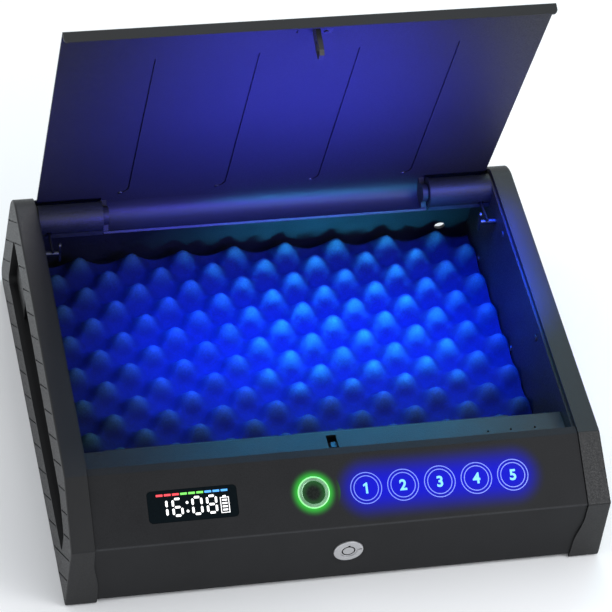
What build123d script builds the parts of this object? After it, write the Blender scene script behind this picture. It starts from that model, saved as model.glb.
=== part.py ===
from build123d import *
import os
from math import atan2, cos, degrees, hypot, radians, sin

os.makedirs("parts", exist_ok=True)

# Frame: X to the right, Y to the rear, Z up. The origin is on the floor, under the middle of the closed
# case. The lid stands open at rest. All sizes are in millimetres.

# ---------------------------------------------------------------- driving dimensions
INNER_WIDTH = 308.0
CHEEK_THICKNESS = 13.5
CHEEK_DRAFT = 2.5  # how much thicker a cheek is at its foot than at its crest
BODY_INSET = 1.2  # the cheeks stand this proud of everything between them
SHEET = 2.0  # tray steel
BEZEL_WALL = 2.5
THIN_SHEET = 1.5
PLAY = 0.3  # running gap around moving parts

# Corners of a cheek's side outline, as (Y, Z), from the foot round over the top to the tail.
FOOT = (-147.6, 0.0)
NOSE = (-153.7, 54.3)
SHOULDER = (-114.9, 79.6)
CREST = (129.8, 97.9)
TAIL = (156.75, 0.0)
CORNER_RADII = (2.0, 1.2, 1.2, 22.0, 8.0)
SMALLEST_RADIUS = 1.0

CHEEK_BASE = 0.6  # the cheeks stand on rubber pads, this far above the floor
BODY_BASE = 3.0
HALF_INNER = INNER_WIDTH / 2
HALF_BODY = HALF_INNER - 0.3
HALF_CLEAR = HALF_INNER - THIN_SHEET  # between the two side plates

# Lid and hinge.
HINGE = (113.5, 84.6)
OPEN_ANGLE = 111.5  # from +Y to the open lid
LID_LENGTH = 219.1
LID_HALF = HALF_CLEAR - 0.5
CURL_RADIUS = 10.8  # from the hinge axis to the lid's inner face
CURL_END_ANGLE = -120.0
COVER_RADIUS = 10.0
COVER_WALL = 1.2
COVER_INNER_END = 110.2
PIN_RADIUS = 3.0
PIN_PLAY = 0.05
LIP_DEPTH = 6.2

# Inner front wall and its ledge.
WALL_REAR_Y = -83.4
LEDGE_TOP = 67.5
LEDGE_FRONT_Y = -108.6
LATCH_Y = -92.95
LATCH_SLOT = (3.0, -93.35, 6.4, 12.5)  # centre x, centre y, width, length
LATCH_TRAVEL = 7.0

# Control panel, measured along the slope from the shoulder down.
DISPLAY = (-91.9, 22.8, 55.0, 19.6)  # centre x, slope distance, width, height
FINGERPRINT = (-17.1, 22.5)
KEY_COUNT = 5
FIRST_KEY_X = 15.8
KEY_PITCH = 23.25
KEY_SLOPE = 22.65
KEY_RING_RADII = (9.67, 7.65)
RING_WIDTH = 0.55

# Key lock, measured down the lower front from the nose.
LOCK = (4.4, 24.7)
CAM_LENGTH = 15.0
CAM_DEPTH = 28.0

FOAM_TOP = 33.0
RIVETS = ((70.6, 80.8), (-20.6, 71.6), (-60.0, 40.0), (20.0, 24.0), (110.0, 24.0))


# ---------------------------------------------------------------- outline helpers
def crossing(first, second):
    """Where two lines meet, each given as a point and a direction in (Y, Z)."""
    (y1, z1), (dy1, dz1) = first
    (y2, z2), (dy2, dz2) = second
    run = ((y2 - y1) * dz2 - (z2 - z1) * dy2) / (dy1 * dz2 - dz1 * dy2)
    return (y1 + run * dy1, z1 + run * dz1)


def outline_corners(inset, base):
    """The side outline's corners with its four upper edges moved inward and its base at a given height."""
    corners = [FOOT, NOSE, SHOULDER, CREST, TAIL]
    lines = []
    for (y0, z0), (y1, z1) in zip(corners, corners[1:]):
        length = hypot(y1 - y0, z1 - z0)
        along = ((y1 - y0) / length, (z1 - z0) / length)
        lines.append(((y0 + inset * along[1], z0 - inset * along[0]), along))
    lines.append(((0.0, base), (-1.0, 0.0)))
    return [crossing(before, after) for before, after in zip(lines[-1:] + lines[:-1], lines)]


def side_profile(inset, base, smallest=SMALLEST_RADIUS):
    """The rounded side outline as a face, inset by a distance."""
    corners = outline_corners(inset, base)
    with BuildSketch() as profile:
        with BuildLine():
            Polyline(*corners, close=True)
        make_face()
        for (y, z), radius in zip(corners, CORNER_RADII):
            corner = profile.vertices().sort_by_distance((y, z, 0))[0]
            fillet(corner, max(radius - inset, smallest))
    return profile.sketch


def slope_plane(start, end, inset):
    """A plane on the outline's edge from start to end: +X stays X, +Y runs back towards start, Z out."""
    length = hypot(end[0] - start[0], end[1] - start[1])
    along = ((end[0] - start[0]) / length, (end[1] - start[1]) / length)
    outward = (along[1], -along[0])
    origin = (0, start[0] - inset * outward[0], start[1] - inset * outward[1])
    return Plane(origin=origin, x_dir=(1, 0, 0), z_dir=(0, outward[0], outward[1]))


PANEL = slope_plane(SHOULDER, NOSE, BODY_INSET)
LOWER_FRONT = slope_plane(NOSE, FOOT, BODY_INSET)
REAR_RUN = hypot(CREST[0] - TAIL[0], CREST[1] - TAIL[1])
REAR_NORMAL = ((CREST[1] - TAIL[1]) / REAR_RUN, (TAIL[0] - CREST[0]) / REAR_RUN)

# Local x runs from the hinge axis up the open lid, local y points to the lid's inside.
LID_ALONG = (cos(radians(OPEN_ANGLE)), sin(radians(OPEN_ANGLE)))
LID_PLANE = Plane(origin=(0, *HINGE), x_dir=(0, *LID_ALONG), z_dir=(1, 0, 0))
# Local x is Y and local y is Z, about the hinge axis.
HINGE_PLANE = Plane(origin=(0, *HINGE), x_dir=(0, 1, 0), z_dir=(1, 0, 0))
CURL_SWEEP = OPEN_ANGLE - 90.0 - CURL_END_ANGLE
KEY_CENTRES = [(FIRST_KEY_X + i * KEY_PITCH, -KEY_SLOPE) for i in range(KEY_COUNT)]


def write(part, name):
    part.label = name
    export_step(part, f"parts/{name}.step")


# ---------------------------------------------------------------- cheeks
POCKET_INSET = 25.0
POCKET_DEPTH = 8.0
PLATEAU_DEPTH = 3.5
PLATEAU_FRONT_Y = 84.0
GROOVE_PITCH = 22.5
GROOVE_WIDTH = 0.9
GROOVE_DEPTH = 0.7
GROOVE_TILT = 51.5
GROOVE_MARGIN = 2.4
HOLLOW_OUTER = 4.6
HOLLOW_INNER = 22.4
CHEEK_WALL = 2.8
CHEEK_EDGE = 1.2
FLARE_REACH = 3.6
FLARE_TOP = 42.0
FLARE_FULL = 15.0
PAD_SIZE = (8.5, 32.0, 1.5)  # x, y, recess depth
PAD_CENTRES = ((HALF_INNER + 7.5, -100.0), (HALF_INNER + 7.5, 100.0))

DRAFT_FACE = Plane(
    origin=(HALF_INNER + CHEEK_THICKNESS + CHEEK_DRAFT, 0, 0),
    x_dir=(0, 1, 0),
    z_dir=(CREST[1], 0, CHEEK_DRAFT),
)

# A thin lip at the front foot that laps over the body in an S-curve.
with BuildPart() as foot_lip:
    with BuildSketch(Plane.YZ.offset(HALF_INNER - FLARE_REACH)):
        add(side_profile(0, CHEEK_BASE))
        add(side_profile(BODY_INSET - 0.1, BODY_BASE - 0.2), mode=Mode.SUBTRACT)
        with Locations((60, 60)):
            Rectangle(360, 160, mode=Mode.SUBTRACT)
        with Locations((0, 80)):
            Rectangle(400, 2 * (80 - FLARE_TOP), mode=Mode.SUBTRACT)
    extrude(amount=FLARE_REACH + 1.0)
    with BuildSketch(Plane.XZ) as flare_front:
        with BuildLine():
            curve = Spline(
                (HALF_INNER, FLARE_TOP),
                (HALF_INNER - FLARE_REACH, FLARE_FULL),
                tangents=((0, -1), (0, -1)),
            )
            foot_corner = (HALF_INNER - FLARE_REACH, 0)
            outer_corner = (HALF_INNER + 1, 0)
            Polyline(curve @ 1, foot_corner, outer_corner, (HALF_INNER + 1, FLARE_TOP), curve @ 0)
        make_face()
    extrude(amount=200, both=True, mode=Mode.INTERSECT)

with BuildPart() as cheek_right:
    with BuildSketch(Plane.YZ.offset(HALF_INNER)):
        add(side_profile(0, CHEEK_BASE))
    extrude(amount=CHEEK_THICKNESS + CHEEK_DRAFT)
    split(bisect_by=DRAFT_FACE, keep=Keep.BOTTOM)
    fillet(cheek_right.faces().sort_by(Axis.X)[-1].edges(), CHEEK_EDGE)
    add(foot_lip.part)
    # The grip pocket is deep at the front and shallow near the tail.
    with BuildSketch(Plane.YZ.offset(HALF_INNER + CHEEK_THICKNESS - PLATEAU_DEPTH)):
        add(side_profile(POCKET_INSET, POCKET_INSET, smallest=5.0))
    extrude(amount=CHEEK_THICKNESS, mode=Mode.SUBTRACT)
    with BuildSketch(Plane.YZ.offset(HALF_INNER + CHEEK_THICKNESS - POCKET_DEPTH)):
        add(side_profile(POCKET_INSET, POCKET_INSET, smallest=5.0))
        with Locations((PLATEAU_FRONT_Y + 100, 50)):
            Rectangle(200, 200, mode=Mode.SUBTRACT)
    extrude(amount=CHEEK_THICKNESS, mode=Mode.SUBTRACT)
    # Slanted grooves divide the band round the pocket into tiles.
    with BuildSketch(DRAFT_FACE.offset(-GROOVE_DEPTH)):
        with Locations(*[(GROOVE_PITCH * i + 6.0, 45.0) for i in range(-9, 10)]):
            Rectangle(GROOVE_WIDTH, 200, rotation=GROOVE_TILT)
        add(side_profile(GROOVE_MARGIN, CHEEK_BASE + GROOVE_MARGIN), mode=Mode.INTERSECT)
        add(side_profile(POCKET_INSET - 1.6, POCKET_INSET - 1.6, smallest=5.0), mode=Mode.SUBTRACT)
    extrude(amount=2 * GROOVE_DEPTH, mode=Mode.SUBTRACT)
    # The moulding is hollow behind the band, with bosses for the hinge pin and the rivets.
    with BuildSketch(Plane.YZ.offset(HALF_INNER)):
        add(side_profile(HOLLOW_OUTER, CHEEK_BASE + HOLLOW_OUTER))
        add(side_profile(HOLLOW_INNER, HOLLOW_INNER, smallest=5.0), mode=Mode.SUBTRACT)
        with Locations(HINGE):
            Circle(7.0, mode=Mode.SUBTRACT)
        with Locations(*RIVETS):
            Circle(4.0, mode=Mode.SUBTRACT)
    extrude(amount=CHEEK_THICKNESS - CHEEK_WALL, mode=Mode.SUBTRACT)
    with BuildSketch(Plane.YZ.offset(HALF_INNER)):
        with Locations(HINGE):
            Circle(PIN_RADIUS + PIN_PLAY)
    extrude(amount=6.0, mode=Mode.SUBTRACT)
    with BuildSketch(Plane.YZ.offset(HALF_INNER)):
        with Locations(*RIVETS):
            Circle(1.55)
    extrude(amount=3.2, mode=Mode.SUBTRACT)
    with BuildSketch(Plane.XY.offset(CHEEK_BASE)):
        with Locations(*PAD_CENTRES):
            RectangleRounded(PAD_SIZE[0] + 0.2, PAD_SIZE[1] + 0.2, 2.1)
    extrude(amount=PAD_SIZE[2], mode=Mode.SUBTRACT)
write(cheek_right.part, "cheek_right")

with BuildPart() as cheek_left:
    mirror(cheek_right.part, about=Plane.YZ)
write(cheek_left.part, "cheek_left")

with BuildPart() as foot_pads:
    with BuildSketch(Plane.XY):
        with Locations(*PAD_CENTRES):
            RectangleRounded(PAD_SIZE[0], PAD_SIZE[1], 2.0)
    extrude(amount=CHEEK_BASE + PAD_SIZE[2] - 0.1)
    fillet(foot_pads.faces().sort_by(Axis.Z)[0].edges(), 0.4)
    mirror(foot_pads.part, about=Plane.YZ)
write(foot_pads.part, "foot_pads")

# ---------------------------------------------------------------- side plates and their rivets
PLATE_INSET = 4.0

with BuildPart() as side_plate_right:
    with BuildSketch(Plane.YZ.offset(HALF_CLEAR)):
        add(side_profile(PLATE_INSET, BODY_BASE + SHEET + PLAY))
        with Locations(HINGE):
            Circle(PIN_RADIUS + PIN_PLAY, mode=Mode.SUBTRACT)
        with Locations(*RIVETS):
            Circle(1.55, mode=Mode.SUBTRACT)
    extrude(amount=THIN_SHEET)
write(side_plate_right.part, "side_plate_right")

with BuildPart() as side_plate_left:
    mirror(side_plate_right.part, about=Plane.YZ)
write(side_plate_left.part, "side_plate_left")

with BuildPart() as side_rivets:
    with BuildSketch(Plane.YZ.offset(HALF_CLEAR)):
        with Locations(*RIVETS):
            Circle(1.5)
    extrude(amount=THIN_SHEET + 3.0)
    with BuildSketch(Plane.YZ.offset(HALF_CLEAR)):
        with Locations(*RIVETS):
            Circle(2.3)
    extrude(amount=-0.9)
    heads = side_rivets.faces().filter_by(Axis.X).group_by(Axis.X)[0]
    fillet(heads.edges(), 0.5)
    mirror(side_rivets.part, about=Plane.YZ)
write(side_rivets.part, "side_rivets")

# ---------------------------------------------------------------- steel tray: base and rear wall
REAR_CUT_Y = 118.0
LID_STOP_GAP = 0.3
CABLE_HOLE_X = 133.8
CABLE_HOLE_Z = 24.2
CABLE_HOLE_RADIUS = 3.7
ANCHOR_SPACING = (220.0, 120.0)
ANCHOR_RADIUS = 3.25

with BuildPart() as case_tray:
    with BuildSketch(Plane.YZ.offset(-HALF_BODY)):
        add(side_profile(BODY_INSET, BODY_BASE))
        add(side_profile(BODY_INSET + SHEET, BODY_BASE + SHEET), mode=Mode.SUBTRACT)
        # Only the base and the rear wall stay.
        front_edge = outline_corners(BODY_INSET + BEZEL_WALL + 0.2, BODY_BASE)[0][0]
        with Locations((REAR_CUT_Y - 200, BODY_BASE + SHEET + 100)):
            Rectangle(400, 200, mode=Mode.SUBTRACT)
        with Locations((front_edge - 50, 0)):
            Rectangle(100, 100, mode=Mode.SUBTRACT)
    extrude(amount=2 * HALF_BODY)
    # The wall's top edge is cut along the open lid, which rests on it.
    stop = -(CURL_RADIUS + THIN_SHEET + LID_STOP_GAP)
    with BuildSketch(LID_PLANE.offset(-HALF_BODY)):
        with Locations((38, stop + 40)):
            Rectangle(84, 80)
    extrude(amount=2 * HALF_BODY, mode=Mode.SUBTRACT)
    cable_hole_y = TAIL[0] - CABLE_HOLE_Z * (TAIL[0] - CREST[0]) / CREST[1]
    hole_plane = Plane(
        origin=(CABLE_HOLE_X, cable_hole_y, CABLE_HOLE_Z), x_dir=(1, 0, 0), z_dir=(0, *REAR_NORMAL)
    )
    with BuildSketch(hole_plane):
        Circle(CABLE_HOLE_RADIUS)
    extrude(amount=-8, mode=Mode.SUBTRACT)
    with BuildSketch(Plane.XY.offset(BODY_BASE)):
        with GridLocations(*ANCHOR_SPACING, 2, 2):
            Circle(ANCHOR_RADIUS)
    extrude(amount=SHEET, mode=Mode.SUBTRACT)
write(case_tray.part, "case_tray")

# ---------------------------------------------------------------- foam bed
FOAM_FRONT_Y = -81.5
FOAM_REAR_Y = 136.0

with BuildPart() as foam_base:
    with BuildSketch(Plane.XY.offset(BODY_BASE + SHEET)):
        with Locations((0, (FOAM_FRONT_Y + FOAM_REAR_Y) / 2)):
            Rectangle(2 * HALF_CLEAR - 2.5, FOAM_REAR_Y - FOAM_FRONT_Y)
    extrude(amount=FOAM_TOP - BODY_BASE - SHEET)
    # Room for the heads of the anchor bolts.
    with BuildSketch(Plane.XY.offset(BODY_BASE + SHEET)):
        with GridLocations(*ANCHOR_SPACING, 2, 2):
            Circle(9)
    extrude(amount=9, mode=Mode.SUBTRACT)
write(foam_base.part, "foam_base")

# ---------------------------------------------------------------- front bezel
RETURN_DEPTH = 5.5

with BuildPart() as front_bezel:
    with BuildSketch(Plane.YZ.offset(-HALF_BODY)):
        add(side_profile(BODY_INSET, BODY_BASE))
        add(side_profile(BODY_INSET + BEZEL_WALL, BODY_BASE - 5), mode=Mode.SUBTRACT)
        shoulder_y, shoulder_z = outline_corners(BODY_INSET, BODY_BASE)[2]
        with Locations((shoulder_y + RETURN_DEPTH + 200, 60)):
            Rectangle(400, 200, mode=Mode.SUBTRACT)
    extrude(amount=2 * HALF_BODY)
    # The return behind the shoulder drops to the ledge between the side plates.
    with BuildSketch(Plane.YZ.offset(-HALF_CLEAR + PLAY)):
        with Locations((shoulder_y + RETURN_DEPTH - BEZEL_WALL / 2, (shoulder_z + LEDGE_TOP) / 2)):
            Rectangle(BEZEL_WALL, shoulder_z - LEDGE_TOP)
    extrude(amount=2 * (HALF_CLEAR - PLAY))
    with BuildSketch(PANEL):
        with Locations((DISPLAY[0], -DISPLAY[1])):
            RectangleRounded(DISPLAY[2] + 0.3, DISPLAY[3] + 0.3, 2.65)
    extrude(amount=-1.3, mode=Mode.SUBTRACT)
    with BuildSketch(PANEL):
        with Locations((DISPLAY[0], -DISPLAY[1])):
            RectangleRounded(DISPLAY[2] - 3, DISPLAY[3] - 3, 1.5)
        with Locations((FINGERPRINT[0], -FINGERPRINT[1])):
            Circle(9.3)
    extrude(amount=-2 * BEZEL_WALL, mode=Mode.SUBTRACT)
    with BuildSketch(PANEL.offset(-0.4)):
        for ring_radius in KEY_RING_RADII:
            with Locations(*KEY_CENTRES):
                Circle(ring_radius + RING_WIDTH / 2)
                Circle(ring_radius - RING_WIDTH / 2, mode=Mode.SUBTRACT)
                if ring_radius == KEY_RING_RADII[0]:
                    Circle(ring_radius - RING_WIDTH / 2, mode=Mode.SUBTRACT)
    extrude(amount=1.0, mode=Mode.SUBTRACT)
    with BuildSketch(LOWER_FRONT):
        with Locations((LOCK[0], -LOCK[1])):
            Circle(8.05)
    extrude(amount=-2 * BEZEL_WALL, mode=Mode.SUBTRACT)
write(front_bezel.part, "front_bezel")

with BuildPart() as key_rings:
    for ring_radius in KEY_RING_RADII:
        with BuildSketch(PANEL.offset(-0.4)):
            with Locations(*KEY_CENTRES):
                Circle(ring_radius + RING_WIDTH / 2)
                Circle(ring_radius - RING_WIDTH / 2, mode=Mode.SUBTRACT)
        extrude(amount=0.4)
write(key_rings.part, "key_rings")

with BuildPart() as display_lens:
    with BuildSketch(PANEL.offset(-1.3)):
        with Locations((DISPLAY[0], -DISPLAY[1])):
            RectangleRounded(DISPLAY[2], DISPLAY[3], 2.5)
    extrude(amount=1.3)
write(display_lens.part, "display_lens")

with BuildPart() as display_module:
    with BuildSketch(PANEL.offset(-6)):
        with Locations((DISPLAY[0], -DISPLAY[1])):
            Rectangle(DISPLAY[2] - 4, DISPLAY[3] - 4)
    extrude(amount=6 - 1.3)
    with BuildSketch(PANEL.offset(-7.6)):
        with Locations((DISPLAY[0], -DISPLAY[1])):
            Rectangle(DISPLAY[2] + 6, DISPLAY[3] + 4)
    extrude(amount=1.6)
write(display_module.part, "display_module")

BOARD_DEPTH = 3.2  # of the touch board's front face behind the panel's surface

with BuildPart() as fingerprint_ring:
    with BuildSketch(PANEL):
        with Locations((FINGERPRINT[0], -FINGERPRINT[1])):
            Circle(9.95)
            Circle(7.0, mode=Mode.SUBTRACT)
    extrude(amount=0.9)
    fillet(fingerprint_ring.edges().filter_by(GeomType.CIRCLE).group_by(Axis.Z)[-1], 0.5)
    with BuildSketch(PANEL):
        with Locations((FINGERPRINT[0], -FINGERPRINT[1])):
            Circle(9.2)
            Circle(7.0, mode=Mode.SUBTRACT)
    extrude(amount=-BOARD_DEPTH)
write(fingerprint_ring.part, "fingerprint_ring")

with BuildPart() as fingerprint_sensor:
    with BuildSketch(PANEL.offset(-BOARD_DEPTH)):
        with Locations((FINGERPRINT[0], -FINGERPRINT[1])):
            Circle(6.9)
    extrude(amount=BOARD_DEPTH - 0.7)
write(fingerprint_sensor.part, "fingerprint_sensor")

with BuildPart() as touch_pads:
    with BuildSketch(PANEL.offset(-BOARD_DEPTH)):
        with Locations(*KEY_CENTRES):
            Circle(8)
    extrude(amount=BOARD_DEPTH - BEZEL_WALL)
write(touch_pads.part, "touch_pads")

with BuildPart() as touch_board:
    with BuildSketch(PANEL.offset(-BOARD_DEPTH - 1.6)):
        with Locations((46.0, -22.0)):
            RectangleRounded(158, 27, 2)
    extrude(amount=1.6)
write(touch_board.part, "touch_board")

# ---------------------------------------------------------------- key lock
BARREL_RADIUS = 8.0
PLUG_RADIUS = 5.5
LOCK_CENTRE = (LOCK[0], -LOCK[1])

with BuildPart() as lock_housing:
    with BuildSketch(LOWER_FRONT.offset(-26)):
        with Locations(LOCK_CENTRE):
            Circle(BARREL_RADIUS)
    extrude(amount=26)
    with BuildSketch(LOWER_FRONT):
        with Locations(LOCK_CENTRE):
            Circle(9.3)
    extrude(amount=1.0)
    fillet(lock_housing.edges().filter_by(GeomType.CIRCLE).sort_by(Axis.Y)[0], 0.4)
    with BuildSketch(LOWER_FRONT.offset(1)):
        with Locations(LOCK_CENTRE):
            Circle(PLUG_RADIUS + PIN_PLAY)
    extrude(amount=-27, mode=Mode.SUBTRACT)
    # An index mark beside the plug.
    with BuildSketch(LOWER_FRONT.offset(1)):
        with Locations((LOCK_CENTRE[0] + 7.2, LOCK_CENTRE[1] + 1.2)):
            SlotOverall(2.4, 0.8, rotation=8)
    extrude(amount=-0.5, mode=Mode.SUBTRACT)
write(lock_housing.part, "lock_housing")

with BuildPart() as lock_nut:
    with BuildSketch(LOWER_FRONT.offset(-BEZEL_WALL - 3)):
        with Locations(LOCK_CENTRE):
            RegularPolygon(12, 6)
            Circle(BARREL_RADIUS + PIN_PLAY, mode=Mode.SUBTRACT)
    extrude(amount=3)
write(lock_nut.part, "lock_nut")

with BuildPart() as lock_plug:
    with BuildSketch(LOWER_FRONT.offset(-CAM_DEPTH + 1)):
        with Locations(LOCK_CENTRE):
            Circle(PLUG_RADIUS)
    extrude(amount=CAM_DEPTH - 0.3)
    # The ring-shaped socket of a tubular key, with its notch.
    with BuildSketch(LOWER_FRONT.offset(0.7)):
        with Locations(LOCK_CENTRE):
            Circle(4.3)
            Circle(3.5, mode=Mode.SUBTRACT)
        with Locations((LOCK_CENTRE[0], LOCK_CENTRE[1] + 4.4)):
            Rectangle(1.4, 1.6)
    extrude(amount=-7, mode=Mode.SUBTRACT)
    with BuildSketch(LOWER_FRONT.offset(-CAM_DEPTH + 1)):
        with Locations(LOCK_CENTRE):
            Circle(1.55)
    extrude(amount=6, mode=Mode.SUBTRACT)
write(lock_plug.part, "lock_plug")

with BuildPart() as lock_cam:
    with BuildSketch(LOWER_FRONT.offset(-CAM_DEPTH - 1)):
        with Locations(LOCK_CENTRE):
            Circle(6)
        with Locations((LOCK_CENTRE[0], LOCK_CENTRE[1] + CAM_LENGTH / 2)):
            SlotCenterToCenter(CAM_LENGTH, 6, rotation=90)
        with Locations(LOCK_CENTRE):
            Circle(1.55, mode=Mode.SUBTRACT)
    extrude(amount=2)
write(lock_cam.part, "lock_cam")

with BuildPart() as cam_screw:
    with BuildSketch(LOWER_FRONT.offset(-CAM_DEPTH - 1)):
        with Locations(LOCK_CENTRE):
            Circle(1.5)
    extrude(amount=7)
    with BuildSketch(LOWER_FRONT.offset(-CAM_DEPTH - 1)):
        with Locations(LOCK_CENTRE):
            Circle(3)
    extrude(amount=-1.6)
write(cam_screw.part, "cam_screw")

# ---------------------------------------------------------------- inner front wall with the ledge
PINHOLES_X = (102.3, 117.1, 132.7)
PINHOLE_Y = -95.6
WALL_FRONT_Y = WALL_REAR_Y - THIN_SHEET
BATTERY_BAY = (-137.0, 34.2, -31.0, 65.6)  # low x, low z, high x, high z
bay_centre = ((BATTERY_BAY[0] + BATTERY_BAY[2]) / 2, (BATTERY_BAY[1] + BATTERY_BAY[3]) / 2)
bay_size = (BATTERY_BAY[2] - BATTERY_BAY[0], BATTERY_BAY[3] - BATTERY_BAY[1])

with BuildPart() as inner_front_wall:
    with BuildSketch(Plane.YZ.offset(-HALF_CLEAR + PLAY)):
        with BuildLine():
            Polyline(
                (WALL_FRONT_Y, BODY_BASE + SHEET),
                (WALL_FRONT_Y, LEDGE_TOP - THIN_SHEET),
                (LEDGE_FRONT_Y, LEDGE_TOP - THIN_SHEET),
                (LEDGE_FRONT_Y, LEDGE_TOP),
                (WALL_REAR_Y, LEDGE_TOP),
                (WALL_REAR_Y, BODY_BASE + SHEET),
                close=True,
            )
        make_face()
    extrude(amount=2 * (HALF_CLEAR - PLAY))
    bend = inner_front_wall.edges().filter_by(Axis.X).sort_by_distance((0, WALL_REAR_Y, LEDGE_TOP))[0]
    fillet(bend, 1.2)
    with BuildSketch(Plane.XY.offset(LEDGE_TOP)):
        with Locations(LATCH_SLOT[:2]):
            Rectangle(*LATCH_SLOT[2:])
        with Locations(*[(x, PINHOLE_Y) for x in PINHOLES_X]):
            Circle(0.75)
    extrude(amount=-2 * THIN_SHEET, mode=Mode.SUBTRACT)
    with BuildSketch(Plane.XZ.offset(-WALL_REAR_Y)):
        with Locations(bay_centre):
            Rectangle(bay_size[0] - 1, bay_size[1] - 1)
    extrude(amount=2 * THIN_SHEET, both=True, mode=Mode.SUBTRACT)
write(inner_front_wall.part, "inner_front_wall")

# ---------------------------------------------------------------- latch
TONGUE_WIDTH = 4.5
TONGUE_Z = (62.0, 65.0)
TONGUE_TIP_X = -1.0
TAIL_PLATE_X = (16.6, 18.6)
PLUNGER_Z = 50.0
PLUNGER_RADIUS = 4.0
SOLENOID_X = (36.0, 64.0)
SOLENOID_HALF = 8.3

with BuildPart() as latch_bolt:
    with BuildSketch(Plane.XZ.offset(-LATCH_Y - TONGUE_WIDTH / 2)):
        with BuildLine():
            Polyline(
                (TONGUE_TIP_X, TONGUE_Z[0]),
                (TONGUE_TIP_X, TONGUE_Z[0] + 0.6),
                (TONGUE_TIP_X + 3.4, TONGUE_Z[1]),
                (TAIL_PLATE_X[1], TONGUE_Z[1]),
                (TAIL_PLATE_X[1], TONGUE_Z[0]),
                close=True,
            )
        make_face()
    extrude(amount=TONGUE_WIDTH)
    # The tail plate drops to the plunger and runs forward to the lock's cam.
    with BuildSketch(Plane.YZ.offset(TAIL_PLATE_X[0])):
        with BuildLine():
            Polyline(
                (-89.8, TONGUE_Z[1]),
                (-98.8, TONGUE_Z[1]),
                (-98.8, 57.0),
                (-128.0, 51.0),
                (-128.0, 34.0),
                (-117.0, 34.0),
                (-98.8, 43.0),
                (-89.8, 43.0),
                close=True,
            )
        make_face()
    extrude(amount=TAIL_PLATE_X[1] - TAIL_PLATE_X[0])
write(latch_bolt.part, "latch_bolt")

with BuildPart() as latch_guide:
    with BuildSketch(Plane.YZ.offset(7.0)):
        with Locations((LATCH_Y, LEDGE_TOP - THIN_SHEET - 3.0)):
            Rectangle(12.0, 6.0)
        with Locations((LATCH_Y, sum(TONGUE_Z) / 2)):
            Rectangle(TONGUE_WIDTH + 2 * PLAY, TONGUE_Z[1] - TONGUE_Z[0] + 2 * PLAY, mode=Mode.SUBTRACT)
    extrude(amount=7.0)
write(latch_guide.part, "latch_guide")

with BuildPart() as solenoid_plunger:
    with BuildSketch(Plane.YZ.offset(TAIL_PLATE_X[1])):
        with Locations((LATCH_Y - 0.7, PLUNGER_Z)):
            Circle(PLUNGER_RADIUS)
    extrude(amount=30)
write(solenoid_plunger.part, "solenoid_plunger")

with BuildPart() as solenoid_body:
    with BuildSketch(Plane.YZ.offset(SOLENOID_X[0])):
        with Locations((LATCH_Y - 0.7, PLUNGER_Z)):
            RectangleRounded(2 * SOLENOID_HALF, 2 * SOLENOID_HALF, 1.5)
    extrude(amount=SOLENOID_X[1] - SOLENOID_X[0])
    with BuildSketch(Plane.YZ.offset(SOLENOID_X[0])):
        with Locations((LATCH_Y - 0.7, PLUNGER_Z)):
            Circle(PLUNGER_RADIUS + PLAY)
    extrude(amount=SOLENOID_X[1] - SOLENOID_X[0] - 4, mode=Mode.SUBTRACT)
write(solenoid_body.part, "solenoid_body")

with BuildPart() as latch_spring:
    with BuildLine() as spring_path:
        Helix(
            pitch=3.1,
            height=15.5,
            radius=5.2,
            center=(TAIL_PLATE_X[1] + 1.0, LATCH_Y - 0.7, PLUNGER_Z),
            direction=(1, 0, 0),
        )
    with BuildSketch(Plane(origin=spring_path.line @ 0, z_dir=spring_path.line % 0)):
        Circle(0.45)
    sweep(is_frenet=True)
write(latch_spring.part, "latch_spring")

# ---------------------------------------------------------------- battery compartment
CELL_RADIUS = 7.1
CELL_LENGTH = 50.0
HOLDER_FRONT_Y = -101.5
CELL_Y = -93.3
CELL_ROWS_Z = (42.4, 57.2)
CELL_LOW_X = (-135.0, -83.6)

with BuildPart() as battery_holder:
    with BuildSketch(Plane.XZ.offset(-WALL_FRONT_Y)):
        with Locations(bay_centre):
            Rectangle(bay_size[0] - 0.4, bay_size[1] - 0.4)
    extrude(amount=WALL_FRONT_Y - HOLDER_FRONT_Y)
    with BuildSketch(Plane.XZ.offset(-WALL_FRONT_Y)):
        with Locations(bay_centre):
            Rectangle(bay_size[0] - 2.2, bay_size[1] - 1.6)
    extrude(amount=WALL_FRONT_Y - HOLDER_FRONT_Y - 1.0, mode=Mode.SUBTRACT)
write(battery_holder.part, "battery_holder")

with BuildPart() as battery_cells:
    for low_x in CELL_LOW_X:
        with BuildSketch(Plane.YZ.offset(low_x)):
            with Locations(*[(CELL_Y, z) for z in CELL_ROWS_Z]):
                Circle(CELL_RADIUS)
        extrude(amount=CELL_LENGTH - 1.2)
        with BuildSketch(Plane.YZ.offset(low_x + CELL_LENGTH - 1.2)):
            with Locations(*[(CELL_Y, z) for z in CELL_ROWS_Z]):
                Circle(2.6)
        extrude(amount=1.2)
write(battery_cells.part, "battery_cells")

with BuildPart() as battery_cover:
    with BuildSketch(Plane.XZ.offset(-WALL_REAR_Y - 1.5)):
        with Locations(bay_centre):
            RectangleRounded(bay_size[0] + 3, bay_size[1] + 0.6, 1.5)
    extrude(amount=1.5)
    with BuildSketch(Plane.XZ.offset(-WALL_REAR_Y - 1.5)):
        with Locations(bay_centre):
            with GridLocations(3.0, 0, 7, 1):
                Rectangle(1.2, 14)
    extrude(amount=-0.8)
write(battery_cover.part, "battery_cover")

# ---------------------------------------------------------------- electronics
BOARD = (105.0, -114.0, 66.0, 44.0)  # centre x, centre y, size x, size y
BOARD_Z = 14.0

with BuildPart() as main_board:
    with BuildSketch(Plane.XY.offset(BOARD_Z)):
        with Locations(BOARD[:2]):
            RectangleRounded(BOARD[2], BOARD[3], 2)
            with GridLocations(BOARD[2] - 8, BOARD[3] - 8, 2, 2):
                Circle(1.6, mode=Mode.SUBTRACT)
    extrude(amount=1.6)
write(main_board.part, "main_board")

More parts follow.
